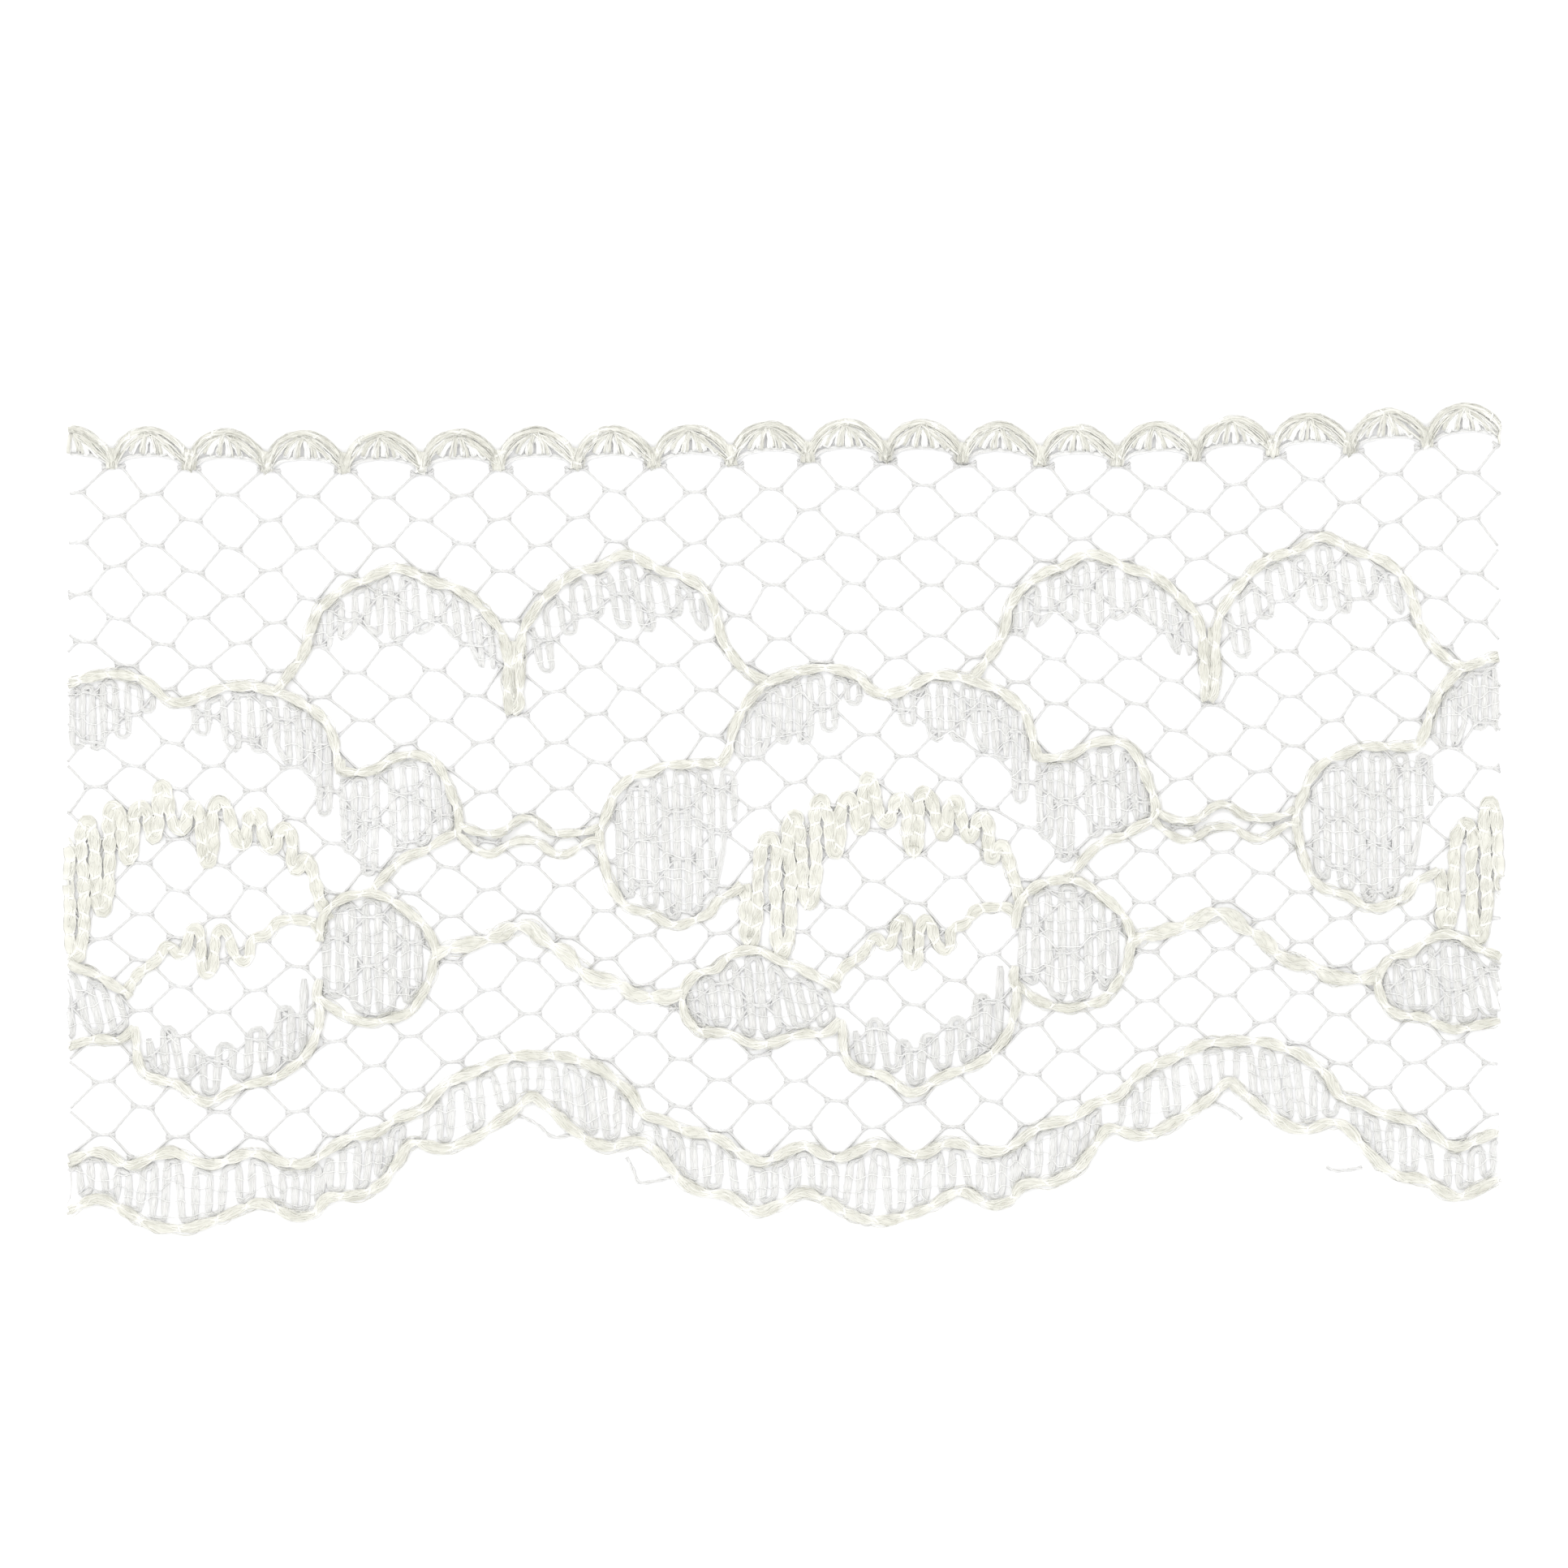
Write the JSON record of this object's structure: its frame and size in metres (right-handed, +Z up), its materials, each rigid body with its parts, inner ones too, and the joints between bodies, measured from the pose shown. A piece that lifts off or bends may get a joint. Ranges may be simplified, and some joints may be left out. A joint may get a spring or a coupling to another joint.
{
  "type": "lace edging trim",
  "caption": "Cut length of cream knitted lace edging with a scalloped sewing edge, a rose and leaf pattern on hexagonal net and a wavy hem band.",
  "frame": {"origin": "middle of the underside of the flat-laid lace", "axes": "+X along the lace, +Y across it towards the scalloped sewing edge, +Z up out of its face"},
  "size_m": [0.0884, 0.0512, 0.0009],
  "materials": {
    "net_thread": "fine smooth filament yarn, slightly see-through, ivory white",
    "outline_cord": "thick soft loose-fibred yarn, cream, satin sheen",
    "cloth_rib": "flat filling yarn, pale ivory, slightly see-through",
    "rose_yarn": "thick tied yarn, warm cream, satin sheen"
  },
  "bodies": {
    "root": {"arch_cord_left_2": "outline_cord", "arch_cord_left_3": "outline_cord", "arch_cord_right_2": "outline_cord", "arch_cord_right_3": "outline_cord", "arch_ribs_left_2": "cloth_rib", "arch_ribs_left_3": "cloth_rib", "arch_ribs_right_2": "cloth_rib", "arch_ribs_right_3": "cloth_rib", "cloud_cord_1": "outline_cord", "cloud_cord_2": "outline_cord", "cloud_cord_3": "outline_cord", "cloud_ribs_1": "cloth_rib", "cloud_ribs_2": "cloth_rib", "cloud_ribs_3": "cloth_rib", "crescent_cord_1": "outline_cord", "crescent_cord_2": "outline_cord", "crescent_ribs_1": "cloth_rib", "crescent_ribs_2": "cloth_rib", "cut_thread_1": "net_thread", "cut_thread_2": "net_thread", "cut_thread_3": "net_thread", "cut_thread_4": "net_thread", "ground_net": "net_thread", "heading_cord": "outline_cord", "heading_ribs": "cloth_rib", "hem_cord_lower": "outline_cord", "hem_cord_upper": "outline_cord", "hem_ribs": "cloth_rib", "large_petal_cord_2": "outline_cord", "large_petal_cord_3": "outline_cord", "large_petal_ribs_2": "cloth_rib", "large_petal_ribs_3": "cloth_rib", "left_leaf_cord_1": "outline_cord", "left_leaf_cord_2": "outline_cord", "left_leaf_cord_3": "outline_cord", "left_leaf_ribs_1": "cloth_rib", "left_leaf_ribs_2": "cloth_rib", "left_leaf_ribs_3": "cloth_rib", "loop_stem_lower_2": "outline_cord", "loop_stem_lower_3": "outline_cord", "loop_stem_upper_2": "outline_cord", "loop_stem_upper_3": "outline_cord", "ring_yarn_1": "rose_yarn", "ring_yarn_2": "rose_yarn", "ring_yarn_3": "rose_yarn", "round_leaf_cord_2": "outline_cord", "round_leaf_cord_3": "outline_cord", "round_leaf_ribs_2": "cloth_rib", "round_leaf_ribs_3": "cloth_rib", "small_petal_cord_2": "outline_cord", "small_petal_cord_3": "outline_cord", "small_petal_ribs_2": "cloth_rib", "small_petal_ribs_3": "cloth_rib", "sprig_yarn_1": "rose_yarn", "sprig_yarn_2": "rose_yarn", "wave_stem_2": "outline_cord", "wave_stem_3": "outline_cord"}
  },
  "joints": []
}
